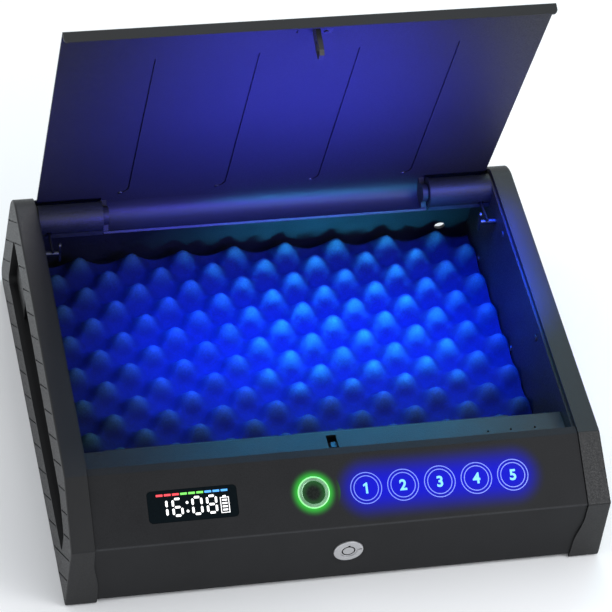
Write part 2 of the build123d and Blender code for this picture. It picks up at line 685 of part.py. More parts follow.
with BuildPart() as board_posts:
    with BuildSketch(Plane.XY.offset(BODY_BASE + SHEET)):
        with Locations(BOARD[:2]):
            with GridLocations(BOARD[2] - 8, BOARD[3] - 8, 2, 2):
                Circle(3)
    extrude(amount=BOARD_Z - BODY_BASE - SHEET)
write(board_posts.part, "board_posts")

with BuildPart() as board_chips:
    with BuildSketch(Plane.XY.offset(BOARD_Z + 1.6)):
        with Locations((96, -108)):
            Rectangle(12, 12)
        with Locations((118, -104), (118, -122)):
            Rectangle(9, 6)
        with Locations((84, -124), (132, -112)):
            Rectangle(5, 10)
    extrude(amount=2)
write(board_chips.part, "board_chips")

with BuildPart() as buzzer:
    with BuildSketch(Plane.XY.offset(BOARD_Z + 1.6)):
        with Locations((84, -104)):
            Circle(5.5)
    extrude(amount=8)
    with BuildSketch(Plane.XY.offset(BOARD_Z + 9.6)):
        with Locations((84, -104)):
            Circle(1.0)
    extrude(amount=-3, mode=Mode.SUBTRACT)
write(buzzer.part, "buzzer")

RIBBON_X = 100.0
RIBBON_WIDTH = 12.0

with BuildPart() as ribbon_cable:
    top = PANEL.from_local_coords((0, -22.0, -BOARD_DEPTH - 1.6))
    with BuildSketch(Plane.YZ.offset(RIBBON_X)):
        with BuildLine():
            FilletPolyline(
                (top.Y + 0.2, top.Z - 0.35),
                (top.Y + 2.0, 40.0),
                (top.Y + 8.0, 22.0),
                (top.Y + 8.0, BOARD_Z + 1.6),
                radius=4,
            )
        trace(line_width=0.6)
    extrude(amount=RIBBON_WIDTH)
write(ribbon_cable.part, "ribbon_cable")

LIGHT_X = (50.0, 140.0)  # centre x, length
LIGHT_Z = 60.5

with BuildPart() as light_housing:
    with BuildSketch(Plane.XZ.offset(-WALL_REAR_Y)):
        with Locations((LIGHT_X[0], LIGHT_Z)):
            RectangleRounded(LIGHT_X[1], 8, 1.5)
    extrude(amount=-3)
write(light_housing.part, "light_housing")

with BuildPart() as light_diffuser:
    with BuildSketch(Plane.XZ.offset(-WALL_REAR_Y - 3)):
        with Locations((LIGHT_X[0], LIGHT_Z)):
            RectangleRounded(LIGHT_X[1] - 4, 5, 1.5)
    extrude(amount=-1.6)
    fillet(light_diffuser.faces().sort_by(Axis.Y)[-1].edges(), 0.8)
write(light_diffuser.part, "light_diffuser")

# ---------------------------------------------------------------- lid
EAR_X = (106.0, 109.5)
EAR_BLIND = 1.2  # solid skin in front of the pin
EAR_RADIUS = 6.2
EAR_WEB_MARGIN = 6.0
END_START = 4.5  # where the lid's two end parts begin, above the hinge covers
LIP_CORNER = 3.0
STRIKER_X = (1.8, 4.8)
STRIKER_SPAN = (202.7, 212.0)  # along the lid, from the hinge axis
STRIKER_DEPTH = 20.5
LID_GROOVES_X = (-92.7, -28.2, 34.7, 98.2)
LID_GROOVE_SPAN = (16.5, 181.7)
LID_GROOVE_WIDTH = 1.0
LID_GROOVE_DEPTH = 0.7
LID_RIVET_SHIFT = (-4.8, 10.4)  # beside a groove's foot, and along the lid
LID_HALF_HINGE = EAR_X[1]


def lid_point(along, inward):
    """A point in the lid plane's local coordinates, inward counted from the lid's inner face."""
    return (along, inward - CURL_RADIUS)


# The lid's inner face: local x is X, local y runs from the hinge axis up the open lid.
LID_INSIDE = Plane(
    origin=LID_PLANE.from_local_coords((0, -CURL_RADIUS, 0)),
    x_dir=(1, 0, 0),
    z_dir=(0, -LID_ALONG[1], LID_ALONG[0]),
)


with BuildPart() as lid_panel:
    # Flat sheet over its full width.
    with BuildSketch(LID_PLANE.offset(-LID_HALF)):
        with Locations(lid_point((END_START + LID_LENGTH) / 2, -THIN_SHEET / 2)):
            Rectangle(LID_LENGTH - END_START, THIN_SHEET)
        with Locations(lid_point(LID_LENGTH - THIN_SHEET / 2, LIP_DEPTH / 2 - THIN_SHEET / 2)):
            Rectangle(THIN_SHEET, LIP_DEPTH + THIN_SHEET)
    extrude(amount=2 * LID_HALF)
    fold = lid_panel.edges().filter_by(Axis.X)
    outer_fold = LID_PLANE.from_local_coords((*lid_point(LID_LENGTH, -THIN_SHEET), 0))
    fillet(fold.sort_by_distance(outer_fold)[0], 1.2)
    lip_corners = lid_panel.edges().filter_by(lambda e: abs(e.length - THIN_SHEET) < 0.01)
    lip_end = LID_PLANE.from_local_coords((*lid_point(LID_LENGTH - THIN_SHEET / 2, LIP_DEPTH), 0))
    fillet(lip_corners.group_by(lambda e: abs(e.center().Z - lip_end.Z) + abs(e.center().Y - lip_end.Y))[0],
           LIP_CORNER)
    # Between the hinge covers the sheet runs on and curls round the hinge axis.
    with BuildSketch(LID_PLANE.offset(-LID_HALF_HINGE)):
        with Locations(lid_point(END_START / 2, -THIN_SHEET / 2)):
            Rectangle(END_START, THIN_SHEET)
        Circle(CURL_RADIUS + THIN_SHEET)
        Circle(CURL_RADIUS, mode=Mode.SUBTRACT)
        with BuildLine():
            reach = 3 * CURL_RADIUS
            arc = CenterArc((0, 0), reach, -90, 360 - CURL_SWEEP)
            Line(arc @ 1, (0, 0))
            Line((0, 0), arc @ 0)
        make_face(mode=Mode.SUBTRACT)
        with Locations(lid_point(END_START / 2, -THIN_SHEET / 2)):
            Rectangle(END_START, THIN_SHEET)
    extrude(amount=2 * LID_HALF_HINGE)
    # The ears close the curl's ends and turn on the hinge pins.
    for side in (-1, 1):
        start = EAR_X[0] if side > 0 else -EAR_X[1]
        with BuildSketch(LID_PLANE.offset(start)):
            Circle(CURL_RADIUS + THIN_SHEET / 2)
            with BuildLine():
                arc = CenterArc((0, 0), reach, -90 + EAR_WEB_MARGIN, 360 - CURL_SWEEP)
                Line(arc @ 1, (0, 0))
                Line((0, 0), arc @ 0)
            make_face(mode=Mode.SUBTRACT)
            Circle(EAR_RADIUS)
        extrude(amount=EAR_X[1] - EAR_X[0])
        bottom = side * (EAR_X[0] + EAR_BLIND)
        with BuildSketch(LID_PLANE.offset(bottom)):
            Circle(PIN_RADIUS + PIN_PLAY)
        extrude(amount=side * (EAR_X[1] - EAR_X[0] - EAR_BLIND), mode=Mode.SUBTRACT)
    # Shallow grooves on the inside, each hooked at its foot, and a slit beside the striker.
    with BuildSketch(LID_INSIDE):
        for groove_x in LID_GROOVES_X:
            with BuildLine():
                hook_end = (groove_x + LID_RIVET_SHIFT[0] + 1.4, LID_RIVET_SHIFT[1] + 0.6)
                stem = Line((groove_x, LID_GROOVE_SPAN[1]), (groove_x, LID_GROOVE_SPAN[0]))
                TangentArc(stem @ 1, hook_end, tangent=(0, -1))
            trace(line_width=LID_GROOVE_WIDTH)
        with Locations((-8.0, 206.0)):
            Rectangle(0.7, 5.0)
    extrude(amount=-LID_GROOVE_DEPTH, mode=Mode.SUBTRACT)
write(lid_panel.part, "lid_panel")

with BuildPart() as lid_rivets:
    with BuildSketch(LID_INSIDE):
        with Locations(*[(x + LID_RIVET_SHIFT[0], LID_RIVET_SHIFT[1]) for x in LID_GROOVES_X]):
            Circle(1.4)
    extrude(amount=0.9)
    fillet(lid_rivets.edges().filter_by(GeomType.CIRCLE).group_by(Axis((0, 0, 0), LID_INSIDE.z_dir))[-1], 0.6)
write(lid_rivets.part, "lid_rivets")

with BuildPart() as striker:
    with BuildSketch(LID_PLANE.offset(STRIKER_X[0])):
        with BuildLine():
            Polyline(
                lid_point(STRIKER_SPAN[0], 0),
                lid_point(STRIKER_SPAN[0], STRIKER_DEPTH - 3),
                lid_point(STRIKER_SPAN[0] + 2, STRIKER_DEPTH),
                lid_point(STRIKER_SPAN[1] - 2, STRIKER_DEPTH),
                lid_point(STRIKER_SPAN[1], STRIKER_DEPTH - 3),
                lid_point(STRIKER_SPAN[1], 0),
                close=True,
            )
        make_face()
        with BuildLine():
            Polyline(
                lid_point(204.9, 18.2),
                lid_point(204.9, 14.2),
                lid_point(207.5, 8.0),
                lid_point(210.1, 14.2),
                lid_point(210.1, 18.2),
                close=True,
            )
        make_face(mode=Mode.SUBTRACT)
    extrude(amount=STRIKER_X[1] - STRIKER_X[0])
    with BuildSketch(LID_PLANE.offset(STRIKER_X[1])):
        with Locations(lid_point(sum(STRIKER_SPAN) / 2, 0.6)):
            Rectangle(STRIKER_SPAN[1] - STRIKER_SPAN[0], 1.2)
    extrude(amount=9)
write(striker.part, "striker")

with BuildPart() as striker_rivets:
    striker_centre = sum(STRIKER_SPAN) / 2
    with BuildSketch(LID_INSIDE.offset(1.2)):
        with Locations((STRIKER_X[1] + 5, striker_centre - 2.3), (STRIKER_X[1] + 5, striker_centre + 2.3)):
            Circle(1.5)
    extrude(amount=0.8)
write(striker_rivets.part, "striker_rivets")

# ---------------------------------------------------------------- hinge: pins, covers, springs, anchors
PIN_START_X = EAR_X[0] + EAR_BLIND + PLAY
COIL_X = (113.0, 131.0)
COIL_RADIUS = 5.0
WIRE_RADIUS = 0.9
LEG_START_X = 130.4
LEG_X = 146.0
LEG_END_Y = 86.5
ANCHOR_YZ = (89.0, 76.6)
ANCHOR_INNER_X = 142.0

with BuildPart() as hinge_pin_right:
    with BuildSketch(Plane.YZ.offset(PIN_START_X)):
        with Locations(HINGE):
            Circle(PIN_RADIUS)
    extrude(amount=HALF_INNER + 5.8 - PIN_START_X)
    chamfer(hinge_pin_right.edges().filter_by(GeomType.CIRCLE).sort_by(Axis.X)[0], 0.5)
write(hinge_pin_right.part, "hinge_pin_right")

with BuildPart() as hinge_pin_left:
    mirror(hinge_pin_right.part, about=Plane.YZ)
write(hinge_pin_left.part, "hinge_pin_left")

with BuildPart() as hinge_cover_right:
    with BuildSketch(HINGE_PLANE.offset(COVER_INNER_END)):
        Circle(COVER_RADIUS)
        Circle(COVER_RADIUS - COVER_WALL, mode=Mode.SUBTRACT)
        with BuildLine():
            arc = CenterArc((0, 0), 3 * COVER_RADIUS, -80, 150)
            Line(arc @ 1, (0, 0))
            Line((0, 0), arc @ 0)
        make_face(mode=Mode.SUBTRACT)
    extrude(amount=HALF_CLEAR - COVER_INNER_END)
    # A narrow flat hangs along the front edge.
    with BuildSketch(HINGE_PLANE.offset(COVER_INNER_END)):
        with Locations((-7.6, -7.6)):
            Rectangle(1.4, 3.2)
    extrude(amount=HALF_CLEAR - COVER_INNER_END)
    with BuildSketch(HINGE_PLANE.offset(COVER_INNER_END)):
        Circle(COVER_RADIUS)
        Circle(PIN_RADIUS + PIN_PLAY, mode=Mode.SUBTRACT)
    extrude(amount=COVER_WALL)
    # A slot lets the spring's leg out towards its anchor.
    with BuildSketch(Plane.XZ.offset(-HINGE[0])):
        with Locations((LEG_X, HINGE[1] - COIL_RADIUS)):
            Rectangle(3.0, 3.4)
    extrude(amount=16, mode=Mode.SUBTRACT)
write(hinge_cover_right.part, "hinge_cover_right")

with BuildPart() as hinge_cover_left:
    mirror(hinge_cover_right.part, about=Plane.YZ)
write(hinge_cover_left.part, "hinge_cover_left")

with BuildPart() as torsion_spring_right:
    with BuildLine() as coil_path:
        Helix(
            pitch=(COIL_X[1] - COIL_X[0]) / 8,
            height=COIL_X[1] - COIL_X[0],
            radius=COIL_RADIUS,
            center=(COIL_X[0], *HINGE),
            direction=(1, 0, 0),
        )
    with BuildSketch(Plane(origin=coil_path.line @ 0, z_dir=coil_path.line % 0)):
        Circle(WIRE_RADIUS)
    sweep(is_frenet=True)
    # The fixed leg leaves the coil at its foot, turns and runs forward over the anchor pin.
    with BuildSketch(Plane.YZ.offset(LEG_START_X)):
        with Locations((HINGE[0], HINGE[1] - COIL_RADIUS)):
            Circle(WIRE_RADIUS)
    extrude(amount=LEG_X - LEG_START_X)
    with Locations((LEG_X, HINGE[0], HINGE[1] - COIL_RADIUS)):
        Sphere(WIRE_RADIUS)
    with BuildSketch(Plane.XZ.offset(-LEG_END_Y)):
        with Locations((LEG_X, HINGE[1] - COIL_RADIUS)):
            Circle(WIRE_RADIUS)
    extrude(amount=-(HINGE[0] - LEG_END_Y))
write(torsion_spring_right.part, "torsion_spring_right")

with BuildPart() as torsion_spring_left:
    mirror(torsion_spring_right.part, about=Plane.YZ)
write(torsion_spring_left.part, "torsion_spring_left")

with BuildPart() as spring_anchor_right:
    with BuildSketch(Plane.YZ.offset(ANCHOR_INNER_X)):
        with Locations(ANCHOR_YZ):
            Circle(1.9)
    extrude(amount=HALF_CLEAR - ANCHOR_INNER_X)
    with BuildSketch(Plane.YZ.offset(ANCHOR_INNER_X)):
        with Locations((ANCHOR_YZ[0], ANCHOR_YZ[1] + 0.6)):
            SlotCenterToCenter(11.5, 3.6, rotation=90)
        with Locations((ANCHOR_YZ[0], ANCHOR_YZ[1] + 4.8)):
            SlotCenterToCenter(2.6, 1.5, rotation=90, mode=Mode.SUBTRACT)
    extrude(amount=-1.4)
write(spring_anchor_right.part, "spring_anchor_right")

with BuildPart() as spring_anchor_left:
    mirror(spring_anchor_right.part, about=Plane.YZ)
write(spring_anchor_left.part, "spring_anchor_left")
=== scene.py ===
import math

import bmesh
import bpy
from mathutils import Matrix, Vector, noise


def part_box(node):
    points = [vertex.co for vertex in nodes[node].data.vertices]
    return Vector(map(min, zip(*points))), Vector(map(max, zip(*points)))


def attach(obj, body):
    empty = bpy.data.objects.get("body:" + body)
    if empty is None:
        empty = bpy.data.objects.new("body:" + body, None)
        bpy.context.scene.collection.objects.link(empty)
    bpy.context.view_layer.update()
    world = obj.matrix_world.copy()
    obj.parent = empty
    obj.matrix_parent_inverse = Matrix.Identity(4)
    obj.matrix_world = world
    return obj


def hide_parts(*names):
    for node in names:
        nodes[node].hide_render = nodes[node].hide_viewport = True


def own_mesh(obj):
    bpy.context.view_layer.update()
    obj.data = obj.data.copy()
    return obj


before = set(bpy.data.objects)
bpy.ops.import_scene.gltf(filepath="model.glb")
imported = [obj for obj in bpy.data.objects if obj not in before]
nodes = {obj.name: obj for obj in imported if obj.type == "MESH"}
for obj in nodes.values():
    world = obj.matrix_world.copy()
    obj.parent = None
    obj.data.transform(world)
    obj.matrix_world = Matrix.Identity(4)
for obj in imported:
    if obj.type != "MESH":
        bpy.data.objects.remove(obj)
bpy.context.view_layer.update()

MM = 0.001

# The control panel slopes: X across, UP_SLOPE towards the shoulder, PANEL_OUT away from the panel.
PANEL_OUT = Vector((0.0, -0.5462, 0.8377))
UP_SLOPE = Vector((0.0, 0.8377, 0.5462))
PANEL_FOLD = (-152.4 * MM, 53.5 * MM)  # y and z of the fold between the panel and the lower front
LID_BACK = (0.0, 0.9304, 0.3665)  # from the lid's inner face to its outer one
LID_FACE = (0.0, 123.55 * MM, 88.56 * MM)  # a point on the inner face
LOCK_OUT = (0.0, -0.993749, -0.111637)  # out of the lower front, along the lock's axis
LOCK_FACE = (4.4 * MM, -149.75 * MM, 29.888 * MM)  # where the lock's axis meets the lower front


# ---------------------------------------------------------------- camera
CAMERA_PLACE = (-0.3886, -1.3748, 1.4047)
CAMERA_AZIMUTH = math.radians(-15.893)
CAMERA_ELEVATION = math.radians(42.464)
CAMERA_ROLL = math.radians(6.385)
CAMERA_LENS = 179.66  # on a sensor 36 wide, both in millimetres


def make_camera():
    azimuth, elevation, roll = CAMERA_AZIMUTH, CAMERA_ELEVATION, CAMERA_ROLL
    back = Vector(
        (
            math.sin(azimuth) * math.cos(elevation),
            -math.cos(azimuth) * math.cos(elevation),
            math.sin(elevation),
        )
    )
    level_right = (-back).cross(Vector((0, 0, 1))).normalized()
    level_up = level_right.cross(-back)
    right = math.cos(roll) * level_right + math.sin(roll) * level_up
    up = -math.sin(roll) * level_right + math.cos(roll) * level_up
    data = bpy.data.cameras.new("camera")
    data.sensor_width = 36.0
    data.lens = CAMERA_LENS
    data.clip_start = 0.05
    camera = bpy.data.objects.new("camera", data)
    bpy.context.scene.collection.objects.link(camera)
    turn = Matrix((right, up, back)).transposed()
    camera.matrix_world = Matrix.Translation(CAMERA_PLACE) @ turn.to_4x4()
    bpy.context.scene.camera = camera


# ---------------------------------------------------------------- materials
class Surface:
    """A procedural material built from small steps. Its textures run in the object's own metres."""

    def __init__(self, name, roughness=0.5, metallic=0.0, specular=0.5):
        self.material = bpy.data.materials.new(name)
        self.material.use_nodes = True
        self.nodes = self.material.node_tree.nodes
        self.links = self.material.node_tree.links
        self.shader = self.nodes["Principled BSDF"]
        self.shader.inputs["Roughness"].default_value = roughness
        self.shader.inputs["Metallic"].default_value = metallic
        self.shader.inputs["Specular IOR Level"].default_value = specular
        self.place = self.nodes.new("ShaderNodeTexCoord").outputs["Object"]
        self.normal = None

    def stretched(self, scale):
        mapping = self.nodes.new("ShaderNodeMapping")
        mapping.inputs["Scale"].default_value = scale
        self.links.new(self.place, mapping.inputs["Vector"])
        return mapping.outputs["Vector"]

    def noise(self, scale, detail=3.0, roughness=0.6, along=None):
        texture = self.nodes.new("ShaderNodeTexNoise")
        texture.inputs["Scale"].default_value = scale
        texture.inputs["Detail"].default_value = detail
        texture.inputs["Roughness"].default_value = roughness
        self.links.new(along or self.place, texture.inputs["Vector"])
        return texture.outputs["Fac"]

    def cells(self, scale):
        texture = self.nodes.new("ShaderNodeTexVoronoi")
        texture.inputs["Scale"].default_value = scale
        self.links.new(self.place, texture.inputs["Vector"])
        return texture.outputs["Distance"]

    def ramp(self, value, stops):
        node = self.nodes.new("ShaderNodeValToRGB")
        elements = node.color_ramp.elements
        while len(elements) < len(stops):
            elements.new(0.5)
        for element, (position, colour) in zip(elements, stops):
            element.position = position
            element.color = (*colour, 1.0)
        self.links.new(value, node.inputs["Fac"])
        return node.outputs["Color"]

    def band(self, value, low, high, start=0.0, end=1.0):
        """start up to low, end from high on, and a smooth step between them."""
        node = self.nodes.new("ShaderNodeMapRange")
        node.interpolation_type = "SMOOTHSTEP"
        limits = {"From Min": low, "From Max": high, "To Min": start, "To Max": end}
        for socket, number in limits.items():
            node.inputs[socket].default_value = number
        self.links.new(value, node.inputs["Value"])
        return node.outputs["Result"]

    def fade(self, value, low, high):
        """1 up to low and 0 from high on."""
        return self.band(value, low, high, 1.0, 0.0)

    def math(self, operation, *values):
        node = self.nodes.new("ShaderNodeMath")
        node.operation = operation
        for socket, value in zip(node.inputs, values):
            if isinstance(value, (int, float)):
                socket.default_value = value
            else:
                self.links.new(value, socket)
        return node.outputs["Value"]

    def mix(self, share, first, second):
        node = self.nodes.new("ShaderNodeMix")
        node.data_type = "RGBA"
        self.links.new(share, node.inputs["Factor"])
        for socket, colour in (("A", first), ("B", second)):
            target = [s for s in node.inputs if s.name == socket and s.type == "RGBA"][0]
            if isinstance(colour, tuple):
                target.default_value = (*colour, 1.0)
            else:
                self.links.new(colour, target)
        return [s for s in node.outputs if s.type == "RGBA"][0]

    def along(self, direction, origin=(0.0, 0.0, 0.0)):
        """How far a point lies along a direction from an origin, in metres."""
        offset = self.nodes.new("ShaderNodeVectorMath")
        offset.operation = "SUBTRACT"
        self.links.new(self.place, offset.inputs[0])
        offset.inputs[1].default_value = origin
        product = self.nodes.new("ShaderNodeVectorMath")
        product.operation = "DOT_PRODUCT"
        self.links.new(offset.outputs["Vector"], product.inputs[0])
        product.inputs[1].default_value = direction
        return product.outputs["Value"]

    def near_line(self, centre, across, up, half_length):
        """Distance from a straight stretch of line, in the plane of across and up."""
        run = self.math("ABSOLUTE", self.along(across, centre))
        past = self.math("MAXIMUM", self.math("SUBTRACT", run, half_length), 0.0)
        rise = self.along(up, centre)
        squares = self.math("MULTIPLY_ADD", rise, rise, self.math("MULTIPLY", past, past))
        return self.math("SQRT", squares)

    def off_fold(self, fold):
        """Distance from a fold that runs along X through (y, z)."""
        y = self.along((0, 1, 0), (0, fold[0], 0))
        z = self.along((0, 0, 1), (0, 0, fold[1]))
        return self.math("SQRT", self.math("MULTIPLY_ADD", y, y, self.math("MULTIPLY", z, z)))

    def colour(self, output):
        self.links.new(output, self.shader.inputs["Base Color"])

    def rough(self, output):
        self.links.new(output, self.shader.inputs["Roughness"])

    def bump(self, height, depth, strength=1.0):
        node = self.nodes.new("ShaderNodeBump")
        node.inputs["Strength"].default_value = strength
        node.inputs["Distance"].default_value = depth
        self.links.new(height, node.inputs["Height"])
        if self.normal:
            self.links.new(self.normal, node.inputs["Normal"])
        self.normal = node.outputs["Normal"]
        self.links.new(self.normal, self.shader.inputs["Normal"])

    def glow(self, colour, strength):
        if isinstance(colour, tuple):
            self.shader.inputs["Emission Color"].default_value = (*colour, 1.0)
        else:
            self.links.new(colour, self.shader.inputs["Emission Color"])
        if isinstance(strength, (int, float)):
            self.shader.inputs["Emission Strength"].default_value = strength
        else:
            self.links.new(strength, self.shader.inputs["Emission Strength"])


def spread(base, amount):
    """Two colours a little darker and lighter than base."""
    return tuple(c * (1 - amount) for c in base), tuple(c * (1 + amount) for c in base)


FOLD_HIGHLIGHT = (0.3 * MM, 1.1 * MM)  # the painted highlight along a fold fades out between these distances from the fold
# Colours painted where a shade mask is 1: painted shade in grip pockets, lid grooves and the key socket, and
# the panel's base under its painted glow.
SHADED_COAT = (0.003, 0.003, 0.0035)
SHADED_METAL = (0.004, 0.004, 0.004)


def coated(
    name, base, grain, depth, roughness=0.5, specular=0.4, variation=0.25, shade=None, fold=None
):
    """Powder coat or textured moulding: fine grain in the relief, soft variation in colour and gloss.

    shade is a mask of painted shade, where the colour is painted nearly black, and along a fold a painted
    highlight makes the coat a little lighter and speckled.
    """
    surface = Surface(name, roughness, specular=specular)
    dark, light = spread(base, variation)
    patches = surface.noise(30.0, 2.0)
    specks = surface.noise(grain * 0.8, 2.0)
    blend = surface.math("MULTIPLY_ADD", specks, 0.75, surface.math("MULTIPLY", patches, 0.25))
    tone = surface.ramp(blend, [(0.32, dark), (0.68, light)])
    if fold:
        painted_highlight = surface.fade(surface.off_fold(fold), *FOLD_HIGHLIGHT)
        speckled_highlight = surface.math("MULTIPLY", painted_highlight, specks)
        tone = surface.mix(speckled_highlight, tone, tuple(3.0 * c for c in base))
    surface.colour(surface.mix(shade(surface), tone, SHADED_COAT) if shade else tone)
    surface.rough(surface.band(specks, 0.3, 0.7, roughness - 0.1, roughness + 0.12))
    surface.bump(surface.noise(grain, 3.0, 0.7), depth)
    return surface


def metal(name, base, roughness, brushed, shade=None):
    """Bare metal with fine lines, whose scale along X, Y and Z is brushed; shade is a mask of painted shade,
    where the colour is painted nearly black.
    """
    surface = Surface(name, roughness, metallic=1.0)
    dark, light = spread(base, 0.12)
    lines = surface.noise(1.0, 4.0, along=surface.stretched(brushed))
    smudges = surface.noise(120.0, 3.0)
    tone = surface.ramp(lines, [(0.25, dark), (0.75, light)])
    surface.colour(surface.mix(shade(surface), tone, SHADED_METAL) if shade else tone)
    surface.rough(surface.band(smudges, 0.3, 0.7, roughness * 0.8, roughness * 1.3))
    surface.bump(lines, 0.02 * MM, 0.6)
    return surface


# A cheek's grip pocket, whose floor and walls are painted dark as shade. Each pair is where its edge starts
# to fade and where it ends.
POCKET_FLOOR = (158.5 * MM, 159.0 * MM)  # from the middle of the safe
POCKET_MOUTH = (165.5 * MM, 167.2 * MM)
POCKET_TOP = (23.5 * MM, 24.5 * MM)  # below the cheek's crest
POCKET_FOOT = (23.5 * MM, 24.5 * MM)  # above the ground
POCKET_FRONT = (-130.0 * MM, -129.0 * MM)
POCKET_REAR = (128.0 * MM, 129.0 * MM)
CREST_DOWN = (0.0, 0.0748, -1.0)  # the crest rises to the rear
CREST_POINT = (0.0, -114.9 * MM, 79.6 * MM)
# What is sunk into the lock lies below this height above the lower front, and this close to its axis.
SOCKET_TOP = (0.55 * MM, 0.65 * MM)
SOCKET_REACH = (8.5 * MM, 8.6 * MM)
# The lid's grooves lie between these depths behind its inner face.
GROOVE_START = (0.08 * MM, 0.3 * MM)
GROOVE_END = (0.8 * MM, 0.95 * MM)
ABOVE_HINGE = (96.0 * MM, 97.0 * MM)


def grip_pocket_painted_shade(surface):
    """Painted shade in a cheek's grip pocket: 0.8 on its floor and walls, 0 elsewhere."""
    outward = surface.math("ABSOLUTE", surface.along((1, 0, 0)))
    below_crest = surface.along(CREST_DOWN, CREST_POINT)
    height = surface.along((0, 0, 1))
    to_rear = surface.along((0, 1, 0))
    inside = surface.band(outward, *POCKET_FLOOR)
    for mask in (
        surface.fade(outward, *POCKET_MOUTH),
        surface.band(below_crest, *POCKET_TOP),
        surface.band(height, *POCKET_FOOT),
        surface.band(to_rear, *POCKET_FRONT),
        surface.fade(to_rear, *POCKET_REAR),
    ):
        inside = surface.math("MULTIPLY", inside, mask)
    return surface.math("MULTIPLY", inside, 0.8)


def key_socket_painted_shade(surface):
    """Painted shade in what is sunk into the lock: 1 in the key's ring-shaped socket and in the index mark,
    0 on the lock's face.
    """
    height = surface.along(LOCK_OUT, LOCK_FACE)
    radius = surface.near_line(LOCK_FACE, (1, 0, 0), (0, LOCK_OUT[2], -LOCK_OUT[1]), 0.0)
    sunk = surface.fade(height, *SOCKET_TOP)
    return surface.math("MULTIPLY", sunk, surface.fade(radius, *SOCKET_REACH))


def lid_groove_painted_shade(surface):
    """Painted shade in the lid's grooves and slit: 1 below the lid's inner face, where they are cut."""
    behind = surface.along(LID_BACK, LID_FACE)
    cut = surface.math("MULTIPLY", surface.band(behind, *GROOVE_START), surface.fade(behind, *GROOVE_END))
    return surface.math("MULTIPLY", cut, surface.band(surface.along((0, 0, 1)), *ABOVE_HINGE))


def plastic(name, base, roughness, grain=1800.0, depth=0.00002, specular=0.5):
    return coated(name, base, grain, depth, roughness, specular, 0.12)


def assign(material, *names):
    for name in names:
        node = nodes[name]
        node.data.materials.clear()
        node.data.materials.append(material)


def smooth(obj, angle):
    """Rounded faces shade smoothly and folds stay crisp."""
    for polygon in obj.data.polygons:
        polygon.use_smooth = True
    obj.data.set_sharp_from_angle(angle=math.radians(angle))


# ---------------------------------------------------------------- mesh helpers
def link(name, mesh, material, body):
    obj = bpy.data.objects.new(name, mesh)
    bpy.context.scene.collection.objects.link(obj)
    mesh.materials.clear()
    mesh.materials.append(material)
    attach(obj, body)
    return obj


def panel_frame(centre):
    """Local x across the panel, y up its slope, z out of it."""
    turn = Matrix((Vector((1, 0, 0)), UP_SLOPE, PANEL_OUT)).transposed()
    return Matrix.Translation(centre) @ turn.to_4x4()


def plates(name, outlines, thickness, where, material, body):
    """Flat shapes, each an outline in millimetres, standing thickness out of the plane."""
    shape = bmesh.new()
    for outline in outlines:
        base = [shape.verts.new((x * MM, y * MM, 0.0)) for x, y in outline]
        face = shape.faces.new(base)
        raised = bmesh.ops.extrude_face_region(shape, geom=[face])["geom"]
        top = [v for v in raised if isinstance(v, bmesh.types.BMVert)]
        bmesh.ops.translate(shape, verts=top, vec=(0, 0, thickness * MM))
    bmesh.ops.recalc_face_normals(shape, faces=shape.faces)
    bmesh.ops.transform(shape, matrix=where, verts=shape.verts)
    mesh = bpy.data.meshes.new(name)
    shape.to_mesh(mesh)
    shape.free()
    link(name, mesh, material, body)


# ---------------------------------------------------------------- foam
FOAM_PITCH = 35.4 * MM  # between the peaks of a row
FOAM_ROW = 15.0 * MM  # between rows
FOAM_PEAK_AT = (-120.9 * MM, 131.0 * MM)
FOAM_VALLEY = 13.5 * MM  # how far the valleys lie below the peaks
FOAM_STEP = 1.6 * MM  # between the points of its mesh
FOAM_SHARPEST = 60.0  # degrees; a steeper fold is not shaded smooth


def foam_height(x, y):
    """Egg-crate waves: peaks in rows, each row shifted by half a pitch."""
    across = math.cos(2 * math.pi * (x - FOAM_PEAK_AT[0]) / FOAM_PITCH)
    along = math.cos(math.pi * (y - FOAM_PEAK_AT[1]) / FOAM_ROW)
    wave = 0.5 + 0.5 * across * along
    soft = 0.9 * wave**1.8 + 0.05 * noise.noise(Vector((x, y, 0.0)) * 45.0)
    rough = 0.012 * noise.noise(Vector((x, y, 1.0)) * 260.0)
    return FOAM_VALLEY * (soft + rough + 0.04)


def make_foam(material):
    low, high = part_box("foam_base")
    columns = round((high.x - low.x) / FOAM_STEP)
    rows = round((high.y - low.y) / FOAM_STEP)
    shape = bmesh.new()
    grid = []
    for j in range(rows + 1):
        y = low.y + (high.y - low.y) * j / rows
        row = []
        for i in range(columns + 1):
            x = low.x + (high.x - low.x) * i / columns
            row.append(shape.verts.new((x, y, high.z - FOAM_VALLEY + foam_height(x, y))))
        grid.append(row)
    for j in range(rows):
        for i in range(columns):
            shape.faces.new((grid[j][i], grid[j][i + 1], grid[j + 1][i + 1], grid[j + 1][i]))
    rim = grid[0] + [row[-1] for row in grid[1:-1]] + grid[-1][::-1]
    rim += [row[0] for row in grid[1:-1]][::-1]
    foot = [shape.verts.new((v.co.x, v.co.y, low.z)) for v in rim]
    for k in range(len(rim)):
        n = (k + 1) % len(rim)
        shape.faces.new((rim[k], foot[k], foot[n], rim[n]))
    shape.faces.new(foot[::-1])
    bmesh.ops.recalc_face_normals(shape, faces=shape.faces)
    mesh = bpy.data.meshes.new("foam_waves")
    shape.to_mesh(mesh)
    shape.free()
    foam = link("foam_waves", mesh, material, "case")
    smooth(foam, FOAM_SHARPEST)
    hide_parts("foam_base")


# ---------------------------------------------------------------- latch spring
def make_latch_spring():
    """The coil, drawn out at rest: a copy with its own mesh, fixed to the case in place of the part."""
    part = nodes["latch_spring"]
    coil = bpy.data.objects.new("latch_spring_coil", part.data.copy())
    bpy.context.scene.collection.objects.link(coil)
    coil.matrix_world = part.matrix_world.copy()
    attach(coil, "case")
    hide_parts("latch_spring")
    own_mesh(coil)


